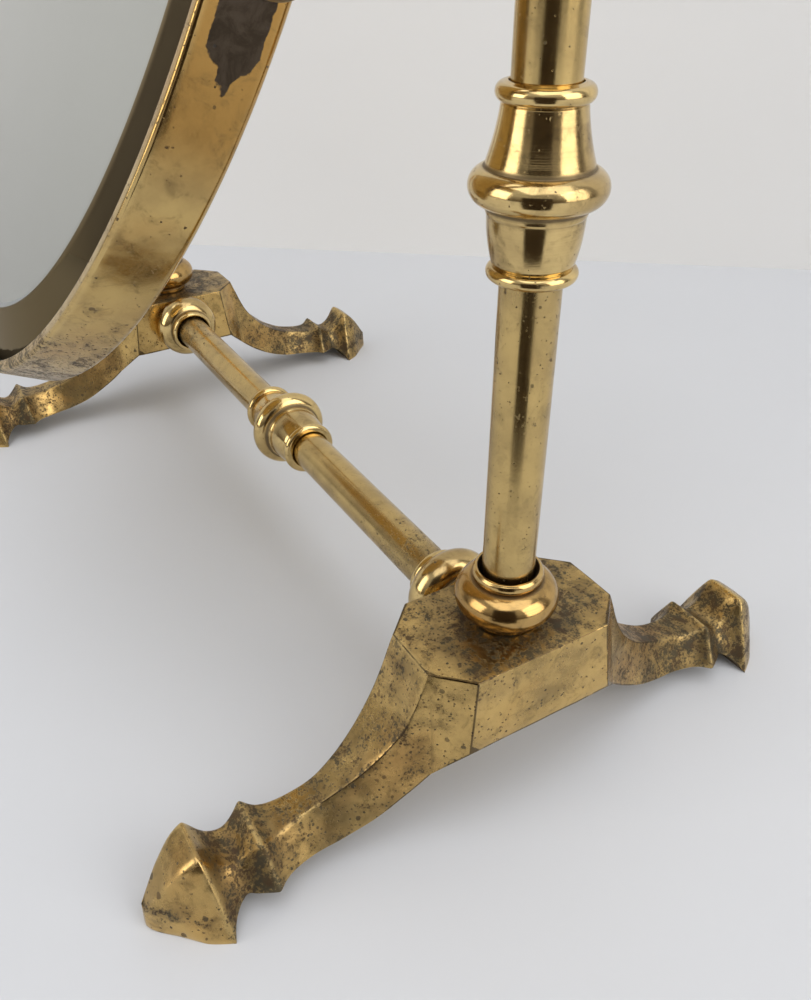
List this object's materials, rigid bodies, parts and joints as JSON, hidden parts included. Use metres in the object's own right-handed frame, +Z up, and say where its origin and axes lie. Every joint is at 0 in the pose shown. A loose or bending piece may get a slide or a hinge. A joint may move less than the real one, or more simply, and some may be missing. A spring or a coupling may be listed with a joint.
{
  "type": "spectacle display stand with mirror",
  "caption": "Brass counter stand for showing spectacles: cast feet, turned columns, rails with nose rests and a round tilting mirror.",
  "frame": {"origin": "on the table under the middle of the stand", "axes": "+X along the stretcher between the feet, +Z up, the mirror faces -Y"},
  "size_m": [0.296, 0.2008, 0.4635],
  "materials": {
    "cast_brass": "cast, worn polish with dark pitting and tarnish",
    "turned_brass": "turned and polished, grime in the grooves",
    "tube_brass": "drawn tube, aged satin with fine specks",
    "hoop_brass": "polished band with tarnish blotches",
    "dark_brass": "dark patina",
    "silvered_glass": "bevelled silvered plate glass",
    "board": "thin softwood backing",
    "leather": "plain leather washer",
    "steel": "plain threaded steel"
  },
  "bodies": {
    "stand": {"foot_right": "cast_brass", "foot_left": "cast_brass", "column_ring_right": "turned_brass", "column_ring_left": "turned_brass", "column_tube_lower_right": "tube_brass", "column_tube_lower_left": "tube_brass", "column_knop_right": "turned_brass", "column_knop_left": "turned_brass", "column_tube_upper_right": "tube_brass", "column_tube_upper_left": "tube_brass", "finial_right": "turned_brass", "finial_left": "turned_brass", "tie_rod_right": "steel", "tie_rod_left": "steel", "foot_nut_right": "steel", "foot_nut_left": "steel", "foot_washer_right": "steel", "foot_washer_left": "steel", "stretcher_ring_right": "turned_brass", "stretcher_ring_left": "turned_brass", "stretcher_tube_right": "tube_brass", "stretcher_tube_left": "tube_brass", "stretcher_stud_right": "steel", "stretcher_stud_left": "steel", "mirror_bracket_right": "cast_brass", "mirror_bracket_left": "cast_brass", "rail_1_collar_right": "cast_brass", "rail_1_collar_left": "cast_brass", "rail_1_nose_rest_right": "turned_brass", "rail_1_nose_rest_left": "turned_brass", "rail_2_collar_right": "cast_brass", "rail_2_collar_left": "cast_brass", "rail_2_nose_rest_right": "turned_brass", "rail_2_nose_rest_left": "turned_brass", "stretcher_knop": "turned_brass", "rail_1": "tube_brass", "rail_2": "tube_brass"},
    "mirror": {"mirror_hoop": "hoop_brass", "mirror_glass": "silvered_glass", "backing_board": "board", "back_plate": "hoop_brass", "pivot_boss_right": "dark_brass", "pivot_boss_left": "dark_brass", "friction_washer_right": "leather", "friction_washer_left": "leather"},
    "thumbscrew_right": {"pivot_thumbscrew_right": "turned_brass"},
    "thumbscrew_left": {"pivot_thumbscrew_left": "turned_brass"}
  },
  "joints": [
    {"name": "mirror_tilt", "type": "hinge", "parent": "stand", "child": "mirror", "pos_m": [0, -0.0418, 0.1949], "axis": [1, 0, 0], "range_deg": [-65, 115]},
    {"name": "thumbscrew_turn_right", "type": "hinge", "parent": "mirror", "child": "thumbscrew_right", "pos_m": [0.1306, -0.0418, 0.1949], "axis": [1, 0, 0], "range_deg": [-180, 180]},
    {"name": "thumbscrew_turn_left", "type": "hinge", "parent": "mirror", "child": "thumbscrew_left", "pos_m": [-0.1306, -0.0418, 0.1949], "axis": [-1, 0, 0], "range_deg": [-180, 180]}
  ]
}
